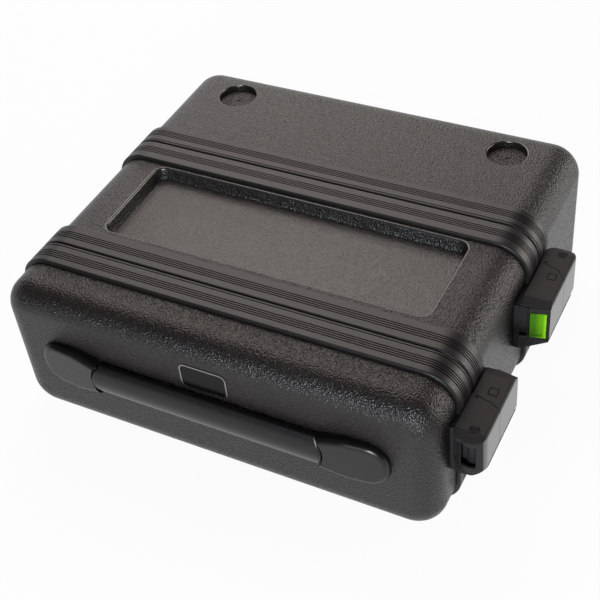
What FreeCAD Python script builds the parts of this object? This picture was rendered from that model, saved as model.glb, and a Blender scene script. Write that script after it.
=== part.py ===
"""Hard case for a wireless microphone set.

Three moulded shells: a middle sleeve, a front cover and a rear cover. Ribbed valances edge both
partings. The covers swing on hinges at the left and are held by latches at the right.
Lengths are in millimetres. X runs across the case towards the latches, Y from the handle to the rear, Z up.
The pieces are drawn about the middle of the sleeve, and their placements then bring the origin to the floor,
under the middle of the whole case.
"""

import FreeCAD, Part
import os
import Sketcher

SIZES = [
    ("shell_half_width", 165.5, "half the width of the shells"),
    ("shell_half_height", 59.0, "half the height of the shells"),
    ("section_radius", 23.0, "round of the shells' long corners"),
    ("wall", 4.5, "moulded wall"),
    ("parting", 65.0, "from the middle of the sleeve to each parting"),
    ("parting_gap", 0.6, "gap between two closed valances"),
    ("front_depth", 54.0, "front parting to front face"),
    ("rear_depth", 115.0, "rear parting to rear face"),
    ("front_edge_radius", 18.0, "round of the front face's edge"),
    ("rear_edge_radius", 17.0, "round of the rear face's edge"),
    ("valance_width", 20.4, "width of one valance"),
    ("valance_proud", 3.0, "height of a valance over the shell"),
    ("valance_web", 3.0, "web that closes a valance at the parting"),
    ("valance_fit", 0.15, "gap between valance and shell"),
    ("valance_edge", 1.4, "round of a valance's outer edges"),
    ("flange_width", 13.0, "inner flange, from the parting face"),
    ("flange_thickness", 2.2, "inner flange"),
    ("lip_depth", 4.5, "reach of a cover's lip into the sleeve"),
    ("lip_thickness", 2.0, "a cover's lip"),
    ("lip_gap", 0.4, "gap between lip and inner flange"),
    ("rib_start", 6.5, "parting face to first groove, on the sleeve"),
    ("cover_rib_start", 8.0, "parting face to first groove, on a cover"),
    ("line_start", 2.0, "parting face to the single groove of a cover"),
    ("rib_pitch", 1.87, "groove to groove"),
    ("rib_groove", 0.9, "width of a groove"),
    ("rib_depth", 1.0, "depth of a groove"),
    ("rib_count", 4, "grooves on a valance"),
    ("recess_half_length", 126.8, "label recess on the sleeve's top, across"),
    ("recess_half_width", 39.5, "label recess, front to rear"),
    ("recess_centre", 1.5, "label recess behind the sleeve's middle"),
    ("recess_corner", 8.0, "corner round of the label recess"),
    ("recess_depth", 9.5, "depth of the label recess"),
    ("recess_slope", 12.0, "slope of the recess's walls, in degrees"),
    ("recess_rim", 1.8, "rim round of the label recess"),
    ("recess_floor_round", 3.0, "round at the floor of the label recess"),
    ("cup_half_spacing", 115.0, "stacking cups from the middle plane"),
    ("cup_from_parting", 81.3, "stacking cups behind the rear parting"),
    ("cup_radius", 15.0, "stacking cup"),
    ("cup_depth", 5.0, "stacking cup"),
    ("cup_rim", 1.2, "rim round of a stacking cup"),
    ("cup_dimple", 1.2, "gate mark in the middle of a stacking cup"),
    ("foot_gap", 0.3, "gap round a foot in its cup"),
    ("foot_edge", 1.5, "round of a foot's lower edge"),
    ("handle_rise", 2.5, "handle above mid height"),
    ("grip_half_length", 84.0, "grip, to the ends of its straight edges"),
    ("grip_half_height", 13.5, "grip"),
    ("grip_end_radius", 20.7, "round of the grip's ends, seen from the front"),
    ("grip_proud", 10.5, "front of the grip from the front face"),
    ("grip_thickness", 10.0, "grip, front to back"),
    ("grip_crown", 5.0, "crown of the grip's front"),
    ("grip_front_round", 2.2, "round of the edges of that crown"),
    ("grip_back_round", 3.0, "round of the grip's back edge"),
    ("seam_gap", 1.0, "gap between grip and end cap"),
    ("cap_tip", 134.6, "end of an end cap from the middle plane"),
    ("cap_shoulder", 104.0, "where an end cap reaches its full height"),
    ("cap_half_height", 18.0, "end cap"),
    ("cap_tip_round", 16.0, "round of an end cap's tip"),
    ("cap_shoulder_round", 24.0, "round of an end cap's shoulder"),
    ("cap_tip_proud", 5.0, "end cap's tip from the front face"),
    ("cap_edge", 4.2, "round of an end cap's front edge"),
    ("strap_half_length", 112.0, "steel strap in the handle"),
    ("strap_half_height", 8.0, "steel strap"),
    ("strap_thickness", 1.2, "steel strap"),
    ("strap_gap", 0.3, "gap round the strap"),
    ("strap_back", 2.4, "steel strap's back from the grip's back"),
    ("handle_screw_inner", 101.0, "inner handle screws from the middle plane"),
    ("handle_screw_outer", 122.0, "outer handle screws from the middle plane"),
    ("handle_screw_reach", 2.0, "handle screw into its end cap"),
    ("badge_half_width", 18.0, "badge"),
    ("badge_half_height", 10.8, "badge"),
    ("badge_rise", 28.7, "badge above mid height"),
    ("badge_corner", 5.0, "corner round of the badge"),
    ("badge_rim_width", 1.1, "rim of the badge"),
    ("badge_pocket", 1.6, "depth of the badge's pocket"),
    ("badge_proud", 0.5, "badge rim over the front face"),
    ("badge_gap", 0.25, "gap round the badge"),
    ("hinge_half_length", 32.0, "hinge"),
    ("hinge_middle_half", 12.0, "middle knuckle of a hinge"),
    ("knuckle_radius", 3.2, "hinge knuckle"),
    ("knuckle_gap", 0.3, "gap between knuckles, and to the valance"),
    ("leaf_thickness", 1.5, "hinge leaf"),
    ("leaf_width", 15.0, "hinge leaf, from the pin's axis"),
    ("pin_radius", 1.6, "hinge pin"),
    ("pin_clearance", 0.05, "running gap of a pin"),
    ("pin_head_radius", 2.6, "head of a hinge pin"),
    ("pin_head_height", 1.2, "head of a hinge pin"),
    ("fastener_offset", 9.0, "fasteners beside a parting"),
    ("fastener_radius", 2.0, "shank of rivets and screws"),
    ("fastener_gap", 0.1, "gap round a shank"),
    ("fastener_head_radius", 3.2, "head of rivets and screws"),
    ("fastener_head_height", 1.8, "head of rivets and screws"),
    ("hinge_rivet_rise", 22.0, "hinge rivets from the hinge's middle"),
    ("latch_rise", 20.0, "latches above mid height"),
    ("latch_half_height", 15.75, "latch housing"),
    ("latch_length", 69.0, "latch, hinge end to free end"),
    ("latch_depth", 22.3, "outer face of a latch from the valance"),
    ("latch_slant", 5.0, "slant of a latch's free end"),
    ("front_latch_reach", 42.0, "front latch's hinge end past the parting"),
    ("rear_latch_reach", 22.0, "rear latch's hinge end past the parting"),
    ("latch_pivot", 10.0, "latch pin from the hinge end"),
    ("latch_pin_radius", 2.0, "latch pin"),
    ("latch_pin_sink", 1.2, "latch pin's ends below the housing's faces"),
    ("barrel_radius", 4.5, "barrel of a latch base"),
    ("neck_half_width", 3.5, "neck that carries the barrel"),
    ("base_plate", 3.2, "plate of a latch base"),
    ("base_setback", 5.0, "end of a latch base from the parting"),
    ("heel_setback", 0.6, "foot of a latch base's heel from the pin"),
    ("heel_height", 7.5, "top of that heel, beside the housing's round end"),
    ("heel_land", 1.0, "flat top of that heel"),
    ("bracket_low", 28.0, "bottom of a latch's brackets below its middle"),
    ("bracket_setback", 4.0, "a base's bracket from the housing's round end"),
    ("bracket_lip", 1.2, "outer edge of a bracket under the housing"),
    ("bracket_inset", 0.5, "that edge from the housing's outer face"),
    ("housing_gap", 0.4, "gap between latch housing and base"),
    ("housing_wall", 2.5, "outer wall of a latch housing"),
    ("housing_cheek", 3.2, "upper and lower wall of a latch housing"),
    ("housing_edge", 2.4, "round of a latch housing's edges"),
    ("housing_seam", 0.35, "seam between a latch's end cap and lever"),
    ("front_seam_inner", 38.0, "front latch's seam, at the valance side"),
    ("front_seam_middle", 35.3, "front latch's seam, at the pin's level"),
    ("front_seam_outer", 30.5, "front latch's seam, at the outer face"),
    ("rear_seam_inner", 22.0, "rear latch's seam, at the valance side"),
    ("rear_seam_middle", 25.4, "rear latch's seam, at the pin's level"),
    ("rear_seam_outer", 35.0, "rear latch's seam, at the outer face"),
    ("seam_straight", 1.6, "half the straight middle of a latch's seam"),
    ("lever_low", 1.0, "gap between a lever and the sleeve's valance"),
    ("pin_recess", 3.6, "round recess over a latch pin's end"),
    ("neck_half_height", 9.0, "neck that carries the barrel, up and down"),
    ("neck_gap", 0.8, "gap between the neck and its slot in the housing"),
    ("cap_slope_run", 8.0, "sloped hinge end of a latch, along it"),
    ("cap_slope_drop", 3.2, "sloped hinge end of a latch, down"),
    ("brow_run", 11.0, "slope over the release button, along the latch"),
    ("brow_drop", 4.6, "slope over the release button, down"),
    ("frame_half", 3.2, "half of the square line engraved on a lever"),
    ("frame_line", 0.5, "width and depth of that line"),
    ("frame_from_seam", 9.0, "middle of that square from the seam"),
    ("latch_screw_rise", 8.0, "latch and keeper screws from the latch's middle"),
    ("latch_screw_reach", 1.6, "screws into a latch base or keeper"),
    ("keeper_plate", 2.0, "plate of a keeper"),
    ("keeper_start", 3.0, "keeper's plate from the parting"),
    ("keeper_end", 2.5, "end of a keeper from the latch's free end"),
    ("keeper_stop", 5.0, "block at a keeper's end that closes the lever, along the latch"),
    ("keeper_plate_half", 11.5, "keeper's plate, up and down"),
    ("keeper_post_end", 12.5, "hooked face of the keeper's post from the parting"),
    ("keeper_post", 4.0, "keeper's post, along the latch"),
    ("keeper_post_half", 8.0, "keeper's post, up and down"),
    ("keeper_height", 7.0, "top of the post from the valance"),
    ("claw_gap", 0.4, "gap between claw and keeper"),
    ("claw_thickness", 2.6, "steel claw"),
    ("claw_arm", 9.0, "claw's arm along the lever"),
    ("claw_tip", 4.2, "claw's tip from the valance"),
    ("claw_half", 8.0, "claw, up and down"),
    ("button_end_wall", 9.0, "button pocket's floor from the free end"),
    ("button_half_height", 11.3, "release button"),
    ("button_drop", 2.4, "release button's middle below the latch's"),
    ("button_inner", 8.6, "release button's inner side from the valance"),
    ("button_outer", 20.0, "release button's outer side from the valance"),
    ("button_travel", 2.2, "release button"),
    ("button_proud", 0.8, "release button over the housing's end"),
    ("button_gap", 0.25, "gap round the button"),
    ("button_rim", 2.4, "raised rim on the button's outer face"),
    ("button_scoop", 1.0, "scoop beside that rim"),
    ("button_round", 1.2, "round of the button's outer face"),
    ("spring_radius", 3.0, "button spring"),
    ("spring_wire", 0.8, "button spring's wire"),
    ("spring_sink", 1.2, "spring's seat in the button"),
    ("spring_gap", 0.2, "gap round the spring"),
    ("foam_gap", 0.3, "gap between foam and what it lies on"),
    ("foam_half_depth", 50.0, "foam block in the sleeve, front to rear"),
    ("trough_half_length", 135.0, "microphone trough"),
    ("trough_height", 42.0, "microphone trough"),
    ("trough_depth", 45.0, "microphone trough"),
    ("trough_wall", 6.0, "foam between the troughs"),
    ("trough_corner", 8.0, "corner round of a trough"),
    ("receiver_half_length", 105.0, "receiver pocket"),
    ("receiver_half_height", 24.0, "receiver pocket"),
    ("receiver_depth", 38.0, "receiver pocket"),
    ("front_pad_face", 17.0, "front pad's face from the parting"),
    ("front_pad_inset", 18.5, "front pad from the shell's outside"),
    ("head_pocket", 1.2, "room in a pad round a screw head"),
    ("rear_pad_thickness", 25.0, "pad on the rear wall"),
    ("rear_pad_inset", 15.5, "rear pad from the shell's outside"),
]


class Length:
    """A length that carries its number and its formula over the sheet."""

    def __init__(self, number, formula):
        self.number = number
        self.formula = formula

    def join(self, other, sign, number):
        return Length(number, f"({self.formula} {sign} {formula(other)})")

    def __add__(self, other):
        return self.join(other, "+", self.number + number(other))

    def __radd__(self, other):
        return self + other

    def __sub__(self, other):
        return self.join(other, "-", self.number - number(other))

    def __rsub__(self, other):
        return -self + other

    def __mul__(self, other):
        return self.join(other, "*", self.number * number(other))

    def __rmul__(self, other):
        return self * other

    def __truediv__(self, other):
        return self.join(other, "/", self.number / number(other))

    def __neg__(self):
        return self * -1

    def root(self):
        return Length(self.number ** 0.5, f"sqrt({self.formula})")


def number(length):
    return length.number if isinstance(length, Length) else float(length)


def formula(length):
    return length.formula if isinstance(length, Length) else repr(float(length))


def tie(thing, name, length):
    thing.setExpression(name, formula(length))


doc = FreeCAD.newDocument("MicrophoneCase")
sheet = doc.addObject("Spreadsheet::Sheet", "Sizes")
for row, (name, value, note) in enumerate(SIZES, 1):
    sheet.set(f"A{row}", name)
    sheet.set(f"B{row}", str(value))
    sheet.set(f"C{row}", note)
    sheet.setAlias(f"B{row}", name)
doc.recompute()


class Sheet:
    """The sheet's sizes by name."""

    def __getattr__(self, name):
        return Length(float(sheet.get(name)), f"Sizes.{name}")


z = Sheet()

# Places that several pieces share
valance_x = z.shell_half_width + z.valance_proud
floor_z = -(z.shell_half_height + z.valance_proud)
front_face = -(z.parting + z.front_depth)
rear_face = z.parting + z.rear_depth
hinge_x = valance_x + z.knuckle_radius + z.knuckle_gap
grip_front = front_face - z.grip_proud
latch_outer_x = valance_x + z.latch_depth

# The move that brings the origin under the middle of the whole case
shift_x = (hinge_x + z.knuckle_radius - latch_outer_x) / 2
shift_y = -(rear_face + grip_front) / 2
shift_z = -floor_z

pieces = []


def new_body():
    return doc.addObject("PartDesign::Body", "Body")


def settle(piece, x=0, y=0, up=0, turn=None):
    """Bring a piece from where it is drawn to its place in the part's frame."""
    if turn is not None:
        piece.Placement = FreeCAD.Placement(FreeCAD.Vector(), turn)
    tie(piece, "Placement.Base.x", shift_x + x)
    tie(piece, "Placement.Base.y", shift_y + y)
    tie(piece, "Placement.Base.z", shift_z + up)


def keep(piece, label):
    piece.Label = label
    pieces.append(piece)


# Sketches

NORMALS = {"XY_Plane": 1, "XZ_Plane": -1, "YZ_Plane": 1}


def new_sketch(body, plane, offset):
    sketch = body.newObject("Sketcher::SketchObject", "Sketch")
    sketch.AttachmentSupport = [(p, "") for p in body.Origin.OriginFeatures if p.Role == plane]
    sketch.MapMode = "FlatFace"
    tie(sketch, "AttachmentOffset.Base.z", offset)
    return sketch


def place_point(sketch, shape, end, x=None, y=None):
    for kind, axis, length in (("DistanceX", -2, x), ("DistanceY", -1, y)):
        if length is None:
            continue
        if not isinstance(length, Length) and length == 0:
            sketch.addConstraint(Sketcher.Constraint("PointOnObject", shape, end, axis))
            continue
        spot = sketch.addConstraint(Sketcher.Constraint(kind, -1, 1, shape, end, number(length)))
        tie(sketch, f"Constraints[{spot}]", length)


def loop(sketch, corners, arcs=None):
    """Draw a closed outline. arcs gives the centre of each run, by its first corner, that is an arc."""
    arcs = arcs or {}
    vectors = [FreeCAD.Vector(number(x), number(y), 0) for x, y in corners]
    first = sketch.GeometryCount
    ends = []
    for i, start in enumerate(vectors):
        stop = vectors[(i + 1) % len(vectors)]
        if i not in arcs:
            shape = sketch.addGeometry(Part.LineSegment(start, stop), False)
            ends.append((shape, 1, 2))
            continue
        centre = FreeCAD.Vector(number(arcs[i][0]), number(arcs[i][1]), 0)
        forward = (start - centre).cross(stop - centre).z > 0
        circle = Part.Circle(centre, FreeCAD.Vector(0, 0, 1), (start - centre).Length)
        begin, finish = (start, stop) if forward else (stop, start)
        angles = [circle.parameter(begin), circle.parameter(finish)]
        shape = sketch.addGeometry(Part.ArcOfCircle(circle, *angles), False)
        ends.append((shape, 1, 2) if forward else (shape, 2, 1))
    for i, (x, y) in enumerate(corners):
        before = ends[i - 1]
        here = ends[i]
        sketch.addConstraint(Sketcher.Constraint("Coincident", before[0], before[2], here[0], here[1]))
        place_point(sketch, here[0], here[1], x, y)
    for i, (x, y) in arcs.items():
        chord = vectors[(i + 1) % len(vectors)] - vectors[i]
        if abs(chord.y) >= abs(chord.x):
            place_point(sketch, first + i, 3, x=x)
        else:
            place_point(sketch, first + i, 3, y=y)


def rectangle(sketch, x0, x1, y0, y1, radius=None):
    """Draw a rectangle, with rounded corners where a radius is given."""
    if radius is None:
        loop(sketch, [(x0, y0), (x1, y0), (x1, y1), (x0, y1)])
        return
    left, right, low, high = x0 + radius, x1 - radius, y0 + radius, y1 - radius
    corners = [(left, y0), (right, y0), (x1, low), (x1, high), (right, y1), (left, y1), (x0, high), (x0, low)]
    loop(sketch, corners, {1: (right, low), 3: (right, high), 5: (left, high), 7: (left, low)})


def circle(sketch, x, y, radius):
    middle = FreeCAD.Vector(number(x), number(y), 0)
    shape = sketch.addGeometry(Part.Circle(middle, FreeCAD.Vector(0, 0, 1), number(radius)), False)
    place_point(sketch, shape, 3, x, y)
    spot = sketch.addConstraint(Sketcher.Constraint("Radius", shape, number(radius)))
    tie(sketch, f"Constraints[{spot}]", radius)


def section(sketch, offset):
    """Draw the shells' cross-section, grown by an offset."""
    wide = z.shell_half_width + offset
    tall = z.shell_half_height + offset
    rectangle(sketch, -wide, wide, -tall, tall, z.section_radius + offset)


# Features


def prism(body, plane, start, stop, draw, kind="Pad"):
    """Add (Pad) or cut (Pocket) an outline from one level of a plane's axis to another."""
    side = NORMALS[plane]
    sketch = new_sketch(body, plane, start * side)
    draw(sketch)
    feature = body.newObject("PartDesign::" + kind, kind)
    feature.Profile = sketch
    rising = number(stop) > number(start)
    tie(feature, "Length", stop - start if rising else start - stop)
    along_normal = rising == (side > 0)
    feature.Reversed = along_normal if kind == "Pocket" else not along_normal
    return feature


def cut(body, plane, start, stop, draw):
    return prism(body, plane, start, stop, draw, "Pocket")


def soften(body, radius, wanted):
    """Round the edges that a test picks."""
    doc.recompute()
    base = body.Tip
    names = [f"Edge{i}" for i, edge in enumerate(base.Shape.Edges, 1) if wanted(edge)]
    if not names:
        raise RuntimeError(f"no edge to round in {body.Name}")
    feature = body.newObject("PartDesign::Fillet", "Fillet")
    feature.Base = (base, names)
    tie(feature, "Radius", radius)
    return feature


def hollow(body, thickness, open_end):
    """Hollow a body to a wall, open at the face that lies at a level of Y."""
    doc.recompute()
    base = body.Tip
    here = number(open_end)
    names = []
    for i, face in enumerate(base.Shape.Faces, 1):
        box = face.BoundBox
        if box.YLength < 1e-4 and abs(box.YMin - here) < 1e-4:
            names.append(f"Face{i}")
    feature = body.newObject("PartDesign::Thickness", "Thickness")
    feature.Base = (base, names)
    feature.Reversed = True
    feature.Join = "Intersection"
    tie(feature, "Value", thickness)
    return feature


def level(axis, place, limits=None):
    """Pick the edges that lie in a plane square to an axis, where limits gives ranges on other axes."""
    here = number(place)

    def wanted(edge):
        box = edge.BoundBox
        low = {"X": box.XMin, "Y": box.YMin, "Z": box.ZMin}
        high = {"X": box.XMax, "Y": box.YMax, "Z": box.ZMax}
        flat = abs(low[axis] - here) < 1e-4 and abs(high[axis] - here) < 1e-4
        ranges = (limits or {}).items()
        return flat and all(low[a] >= number(r[0]) - 1e-4 and high[a] <= number(r[1]) + 1e-4 for a, r in ranges)

    return wanted


def ring(body, start, stop, outer, inner, kind="Pad"):
    """Add or cut a band that follows the shells' cross-section between two offsets."""

    def draw(sketch):
        section(sketch, outer)
        section(sketch, inner)

    return prism(body, "XZ_Plane", start, stop, draw, kind)


def turned(profile):
    """Turn a profile of radius and height about Z."""
    body = new_body()
    sketch = new_sketch(body, "XZ_Plane", 0)
    loop(sketch, profile)
    feature = body.newObject("PartDesign::Revolution", "Revolution")
    feature.Profile = sketch
    feature.ReferenceAxis = (sketch, ["V_Axis"])
    feature.Angle = 360
    return body


def group(label, members):
    compound = doc.addObject("Part::Compound", "Group")
    compound.Links = members
    keep(compound, label)


TO_LEFT = FreeCAD.Rotation(FreeCAD.Vector(0, 0, 1), FreeCAD.Vector(-1, 0, 0))
TO_RIGHT = FreeCAD.Rotation(FreeCAD.Vector(0, 0, 1), FreeCAD.Vector(1, 0, 0))
TO_FRONT = FreeCAD.Rotation(FreeCAD.Vector(0, 0, 1), FreeCAD.Vector(0, -1, 0))
DOWN = FreeCAD.Rotation(FreeCAD.Vector(1, 0, 0), 180)

shank_hole = z.fastener_radius + z.fastener_gap


def screw(reach, x, y, up, turn):
    """A screw whose head's seat is at the given place and whose shank runs on along the turn."""
    body = turned(
        [
            (0, -z.fastener_head_height),
            (z.fastener_head_radius * 0.7, -z.fastener_head_height),
            (z.fastener_head_radius, -z.fastener_head_height * 0.5),
            (z.fastener_head_radius, 0),
            (z.fastener_radius, 0),
            (z.fastener_radius, reach),
            (0, reach),
        ]
    )
    settle(body, x, y, up, turn)
    return body


# The stack of walls at a parting, as offsets from the shells' outside

inner_flange_top = -(z.wall + z.valance_fit)
inner_flange_bottom = inner_flange_top - z.flange_thickness
lip_top = inner_flange_bottom - z.lip_gap
lip_bottom = lip_top - z.lip_thickness
fastener_seat_x = z.shell_half_width + inner_flange_bottom


def side_holes(body, y, ups, inner_x, outer_x):
    """Cut round holes through a side wall along X."""
    for up in ups:
        cut(body, "YZ_Plane", inner_x, outer_x, lambda sketch: circle(sketch, y, up, shank_hole))


hinge_ups = [-z.hinge_rivet_rise, z.hinge_rivet_rise]
latch_ups = [z.latch_rise - z.latch_screw_rise, z.latch_rise + z.latch_screw_rise]
middle_x = z.shell_half_width / 2
outside_x = valance_x + z.wall


def fastener_holes(body, y):
    """Holes for hinge rivets at the left and latch screws at the right, beside one parting."""
    side_holes(body, y, hinge_ups, -outside_x, -middle_x)
    side_holes(body, y, latch_ups, middle_x, outside_x)


def valance(label, side, outward):
    """One ribbed valance. side is -1 at the front parting, outward is 1 on a cover and -1 on the sleeve."""
    away = side * outward
    face = side * (z.parting + outward * z.parting_gap / 2)
    body = new_body()
    web_bottom = lip_bottom if outward > 0 else inner_flange_bottom
    ring(body, face, face + away * z.valance_web, z.valance_proud, web_bottom)
    ring(body, face + away * z.valance_web, face + away * z.valance_width, z.valance_proud, z.valance_fit)
    ring(body, face + away * z.valance_web, face + away * z.flange_width, inner_flange_top, inner_flange_bottom)
    if outward > 0:
        ring(body, face, face - away * z.lip_depth, lip_top, lip_bottom)
    outer_wide = number(valance_x)

    def outer_edge(edge):
        box = edge.BoundBox
        at_end = any(
            abs(box.YMin - number(y)) < 1e-4 and abs(box.YMax - number(y)) < 1e-4
            for y in (face, face + away * z.valance_width)
        )
        reach = max(abs(box.XMin), abs(box.XMax))
        height = max(abs(box.ZMin), abs(box.ZMax))
        straight = abs(reach - outer_wide) < 1e-4 or abs(height + number(floor_z)) < 1e-4
        return at_end and straight

    soften(body, z.valance_edge, outer_edge)

    def groove(start):
        near = face + away * start
        over, under = z.valance_proud + z.rib_depth, z.valance_proud - z.rib_depth
        return ring(body, near, near + away * z.rib_groove, over, under, "Pocket")

    if outward > 0:
        groove(z.line_start)
    first = groove(z.cover_rib_start if outward > 0 else z.rib_start)
    pattern = body.newObject("PartDesign::LinearPattern", "Grooves")
    pattern.Originals = [first]
    axis = [p for p in body.Origin.OriginFeatures if p.Role == "Y_Axis"][0]
    pattern.Direction = (axis, [""])
    pattern.Reversed = away < 0
    tie(pattern, "Occurrences", z.rib_count)
    tie(pattern, "Length", z.rib_pitch * (z.rib_count - 1))
    body.Tip = pattern
    fastener_holes(body, face + away * (z.fastener_offset - z.parting_gap / 2))
    settle(body)
    keep(body, label)


def shell_end(side, outward):
    """The level where a shell's edge meets the web of its valance."""
    return side * (z.parting + outward * (z.parting_gap / 2 + z.valance_web))


def middle_shell():
    """The sleeve, with the label recess sunk in its top."""
    body = new_body()
    ring(body, shell_end(-1, -1), shell_end(1, -1), 0, -z.wall)
    top = z.shell_half_height
    spread = z.wall
    front = z.recess_centre - z.recess_half_width
    rear = z.recess_centre + z.recess_half_width
    wide = z.recess_half_length

    def tray(sketch):
        rectangle(sketch, -wide - spread, wide + spread, front - spread, rear + spread, z.recess_corner + spread)

    def recess(sketch):
        rectangle(sketch, -wide, wide, front, rear, z.recess_corner)

    prism(body, "XY_Plane", top - z.wall / 2, top - z.recess_depth - z.wall, tray)
    pocket = cut(body, "XY_Plane", top, top - z.recess_depth, recess)
    tie(pocket, "TaperAngle", -z.recess_slope)
    limits = {"X": (-wide - 1, wide + 1), "Y": (front - 1, rear + 1)}
    soften(body, z.recess_rim, level("Z", top, limits))
    soften(body, z.recess_floor_round, level("Z", top - z.recess_depth, limits))
    for side in (-1, 1):
        fastener_holes(body, side * (z.parting - z.fastener_offset))
    settle(body)
    keep(body, "middle_shell")


handle_up = z.handle_rise
handle_screw_places = [side * reach for side in (-1, 1) for reach in (z.handle_screw_inner, z.handle_screw_outer)]


def front_cover_shell():
    """The front cover, with the badge's pocket over the handle."""
    body = new_body()
    open_end = shell_end(-1, 1)
    prism(body, "XZ_Plane", open_end, front_face, lambda sketch: section(sketch, 0))
    soften(body, z.front_edge_radius, level("Y", front_face))
    hollow(body, z.wall, open_end)
    inside = front_face + z.wall
    wide, tall = z.badge_half_width + z.badge_gap, z.badge_half_height + z.badge_gap
    low, high = z.badge_rise - tall, z.badge_rise + tall

    def badge_pocket(sketch):
        rectangle(sketch, -wide, wide, low, high, z.badge_corner + z.badge_gap)

    cut(body, "XZ_Plane", front_face, front_face + z.badge_pocket, badge_pocket)
    for x in handle_screw_places:
        cut(body, "XZ_Plane", front_face, inside, lambda sketch: circle(sketch, x, handle_up, shank_hole))
    fastener_holes(body, -(z.parting + z.fastener_offset))
    settle(body)
    keep(body, "front_cover_shell")


cup_y = z.parting + z.cup_from_parting


def rear_cover_shell():
    """The rear cover, with stacking cups in its top and the same cups, for feet, underneath."""
    body = new_body()
    open_end = shell_end(1, 1)
    prism(body, "XZ_Plane", open_end, rear_face, lambda sketch: section(sketch, 0))
    soften(body, z.rear_edge_radius, level("Y", rear_face))
    hollow(body, z.wall, open_end)
    for face, into in ((z.shell_half_height, -1), (-z.shell_half_height, 1)):
        for x in (-z.cup_half_spacing, z.cup_half_spacing):

            def boss(sketch):
                circle(sketch, x, cup_y, z.cup_radius + z.wall)

            def cup(sketch):
                circle(sketch, x, cup_y, z.cup_radius)

            def middle_hole(sketch):
                circle(sketch, x, cup_y, shank_hole if into > 0 else z.cup_dimple)

            cup_floor = face + into * z.cup_depth
            prism(body, "XY_Plane", face + into * z.wall / 2, cup_floor + into * z.wall, boss)
            cut(body, "XY_Plane", face, cup_floor, cup)
            if into > 0:
                cut(body, "XY_Plane", cup_floor, cup_floor + into * z.wall, middle_hole)
            else:
                cut(body, "XY_Plane", cup_floor, cup_floor + into * z.wall / 8, middle_hole)
    around = {"Y": (cup_y - z.cup_radius - 1, cup_y + z.cup_radius + 1)}
    soften(body, z.cup_rim, level("Z", z.shell_half_height, around))
    fastener_holes(body, z.parting + z.fastener_offset)
    settle(body)
    keep(body, "rear_cover_shell")


def feet():
    """Rubber feet in the lower cups, level with the undersides of the valances, and their screws."""
    cup_floor = -z.shell_half_height + z.cup_depth
    rubber = z.cup_radius - z.foot_gap
    sole = z.cup_depth + z.valance_proud
    head_seat = sole / 2
    well = z.fastener_head_radius + z.foot_gap
    feet_made = []
    screws = []
    for x in (-z.cup_half_spacing, z.cup_half_spacing):
        foot = turned(
            [
                (shank_hole, 0),
                (rubber, 0),
                (rubber, sole - z.foot_edge),
                (rubber - z.foot_edge, sole),
                (well, sole),
                (well, head_seat),
                (shank_hole, head_seat),
            ]
        )
        settle(foot, x, cup_y, cup_floor, DOWN)
        feet_made.append(foot)
        screws.append(screw(head_seat + z.wall, x, cup_y, cup_floor - head_seat, FreeCAD.Rotation()))
    group("rubber_feet", feet_made)
    group("foot_screws", screws)


# Handle

grip_back = grip_front + z.grip_thickness
strap_front = grip_back - z.strap_back - z.strap_thickness
strap_rear = grip_back - z.strap_back
end_offset = (z.grip_end_radius * z.grip_end_radius - z.grip_half_height * z.grip_half_height).root()
end_centre = z.grip_half_length - end_offset


def strap_block(body, start, stop, gap, kind):
    """Add the strap, or cut its slot, along X."""

    def outline(sketch):
        tall = z.strap_half_height + gap
        rectangle(sketch, strap_front - gap, strap_rear + gap, handle_up - tall, handle_up + tall)

    return prism(body, "YZ_Plane", start, stop, outline, kind)


def handle_grip():
    """The soft grip, crowned in front and with rounded ends, over the steel strap."""
    body = new_body()
    tall, crown = z.grip_half_height, z.grip_crown
    low, high = handle_up - tall, handle_up + tall
    crown_radius = (tall * tall + crown * crown) / (2 * crown)
    shoulder = grip_front + crown

    def profile(sketch):
        corners = [(grip_back, low), (grip_back, high), (shoulder, high), (shoulder, low)]
        loop(sketch, corners, {2: (grip_front + crown_radius, handle_up)})

    reach = end_centre + z.grip_end_radius + z.seam_gap
    prism(body, "YZ_Plane", -reach, reach, profile)
    long = z.grip_half_length
    for side in (-1, 1):

        def beyond_end(sketch):
            below, above = low - z.seam_gap, high + z.seam_gap
            far = reach + z.seam_gap
            corners = [(long, low), (long, below), (far, below), (far, above), (long, above), (long, high)]
            loop(sketch, [(side * x, up) for x, up in corners], {5: (side * end_centre, handle_up)})

        cut(body, "XZ_Plane", grip_front, grip_back, beyond_end)
    soften(body, z.grip_back_round, level("Y", grip_back))

    def crown_edge(edge):
        return edge.BoundBox.YMax < number(shoulder) + 0.1

    soften(body, z.grip_front_round, crown_edge)
    strap_block(body, -z.strap_half_length, z.strap_half_length, z.strap_gap, "Pocket")
    settle(body)
    keep(body, "handle_grip")
    strap = new_body()
    strap_block(strap, -z.strap_half_length, z.strap_half_length, 0, "Pad")
    settle(strap)
    keep(strap, "handle_strap")


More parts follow.
